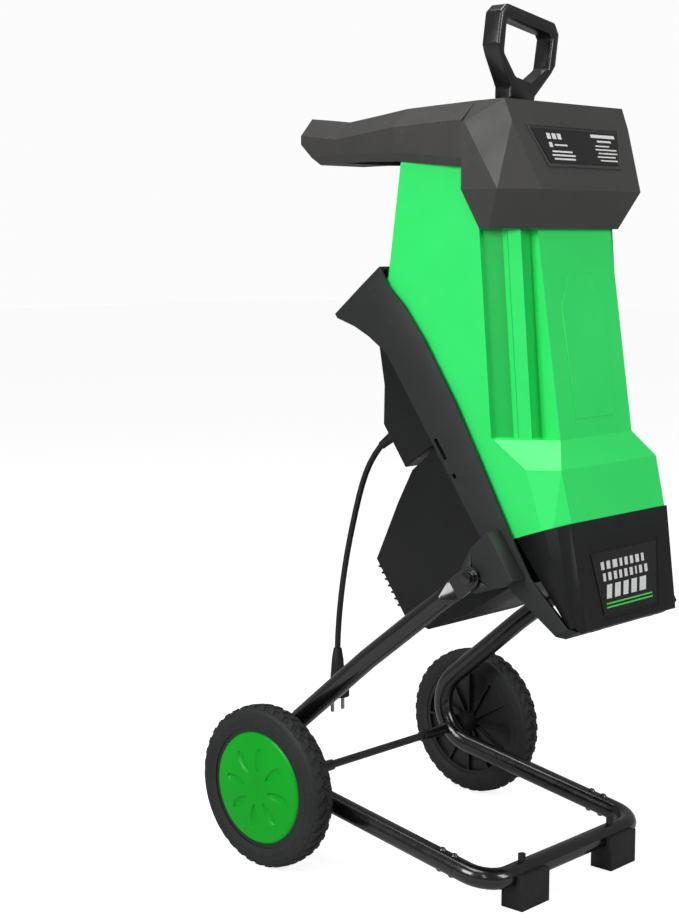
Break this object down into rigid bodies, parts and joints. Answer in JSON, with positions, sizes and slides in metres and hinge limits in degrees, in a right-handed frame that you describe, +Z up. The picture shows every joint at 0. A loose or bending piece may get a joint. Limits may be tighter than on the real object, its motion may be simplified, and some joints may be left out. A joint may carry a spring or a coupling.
{
  "type": "garden shredder",
  "caption": "Electric garden shredder with a tilting feed hopper, lift-out plunger, geared blade disc and motor, on a two-wheeled tube frame.",
  "frame": {"origin": "on the ground under the middle of the machine's bounding box", "axes": "+Z up, -Y towards the front with the feet and discharge hood, +Y towards the wheels and push handle, +X across the axle"},
  "size_m": [0.448, 0.49, 1.0272],
  "materials": {
    "green_plastic": "satin moulded",
    "grey_plastic": "fine moulded texture",
    "casing_plastic": "fine moulded texture",
    "dark_plastic": "fine moulded texture",
    "label_black": "gloss film",
    "steel": "turned and ground",
    "blade_steel": "ground",
    "zinc": "zinc plated",
    "cast_alloy": "die cast",
    "core_steel": "laminated",
    "copper": "bare",
    "carbon": "pressed carbon",
    "frame_paint": "gloss black powder coat",
    "axle_paint": "gloss black",
    "cord_rubber": "matte sheath",
    "foot_rubber": "matte moulded",
    "button_green": "gloss",
    "button_red": "gloss",
    "button_black": "gloss",
    "tyre": "matte tread",
    "rim_plastic": "moulded",
    "cap_green": "gloss moulded"
  },
  "bodies": {
    "frame": {"casing_tray": "casing_plastic", "motor_housing": "dark_plastic", "vent_grille": "dark_plastic", "housing_screws": "zinc", "switch_housing": "dark_plastic", "cord_gland": "cord_rubber", "cord": "cord_rubber", "plug": "cord_rubber", "plug_pins": "zinc", "hinge_pin": "steel", "bearing_plate": "steel", "bearings": "steel", "gear_case": "cast_alloy", "motor_can": "cast_alloy", "stator": "core_steel", "brush_holders": "copper", "brushes": "carbon", "bracket_left": "casing_plastic", "bracket_right": "casing_plastic", "tube_left": "frame_paint", "tube_right": "frame_paint", "tube_front": "frame_paint", "foot_left": "foot_rubber", "foot_right": "foot_rubber", "frame_bolts": "frame_paint", "tube_rivets": "zinc", "axle": "axle_paint", "axle_sleeves": "frame_paint", "axle_nuts": "zinc"},
    "hopper": {"hopper_shell": "green_plastic", "head_cover": "grey_plastic", "head_label": "label_black", "feed_plate": "dark_plastic", "counter_blade": "steel", "discharge_hood": "dark_plastic", "hood_label": "label_black"},
    "plunger": {"plunger_handle": "grey_plastic", "plunger_stem": "dark_plastic"},
    "cutter": {"spindle": "steel", "blade_disc": "steel", "blades": "blade_steel", "blade_screws": "zinc", "disc_bolt": "zinc", "drive_gear": "steel"},
    "armature": {"armature_shaft": "steel", "rotor_stack": "core_steel", "commutator": "copper", "motor_fan": "dark_plastic", "pinion": "steel"},
    "lock": {"lock_knob": "dark_plastic", "lock_stud": "zinc"},
    "start_button": {"button_on": "button_green"},
    "stop_button": {"button_off": "button_red"},
    "reset_button": {"button_reset": "button_black"},
    "wheel_left": {"tyre_left": "tyre", "rim_left": "rim_plastic", "hub_cap_left": "cap_green"},
    "wheel_right": {"tyre_right": "tyre", "rim_right": "rim_plastic", "hub_cap_right": "cap_green"}
  },
  "joints": [
    {"name": "hopper_tilt", "type": "hinge", "parent": "frame", "child": "hopper", "pos_m": [0, -0.23482, 0.33382], "axis": [1, 0, 0], "range_deg": [0, 55]},
    {"name": "plunger_lift", "type": "slide", "parent": "hopper", "child": "plunger", "axis": [0.1564, 0, 0.9877], "range_m": [0, 0.18]},
    {"name": "cutter_spin", "type": "hinge", "parent": "frame", "child": "cutter", "pos_m": [0, -0.11583, 0.51226], "axis": [0, -0.8161, 0.5779], "continuous": true},
    {"name": "armature_spin", "type": "hinge", "parent": "frame", "child": "armature", "pos_m": [0, -0.14472, 0.47146], "axis": [0, -0.8161, 0.5779], "continuous": true},
    {"name": "lock_turn", "type": "hinge", "parent": "frame", "child": "lock", "pos_m": [0, 0.05697, 0.69747], "axis": [0, 0.5779, 0.8161], "range_deg": [0, 720]},
    {"name": "start_press", "type": "slide", "parent": "frame", "child": "start_button", "axis": [0, -0.8161, 0.5779], "range_m": [0, 0.003], "stiffness_N_per_m": 500, "springref_m": -0.001},
    {"name": "stop_press", "type": "slide", "parent": "frame", "child": "stop_button", "axis": [0, -0.8161, 0.5779], "range_m": [0, 0.003], "stiffness_N_per_m": 500, "springref_m": -0.001},
    {"name": "reset_press", "type": "slide", "parent": "frame", "child": "reset_button", "axis": [0, -0.8161, 0.5779], "range_m": [0, 0.003], "stiffness_N_per_m": 500, "springref_m": -0.001},
    {"name": "wheel_left_spin", "type": "hinge", "parent": "frame", "child": "wheel_left", "pos_m": [-0.204, 0.143, 0.1], "axis": [1, 0, 0], "continuous": true},
    {"name": "wheel_right_spin", "type": "hinge", "parent": "frame", "child": "wheel_right", "pos_m": [0.204, 0.143, 0.1], "axis": [1, 0, 0], "continuous": true}
  ],
  "couplings": [
    {"joint": "armature_spin", "follows": "cutter_spin", "ratio": -4}
  ]
}
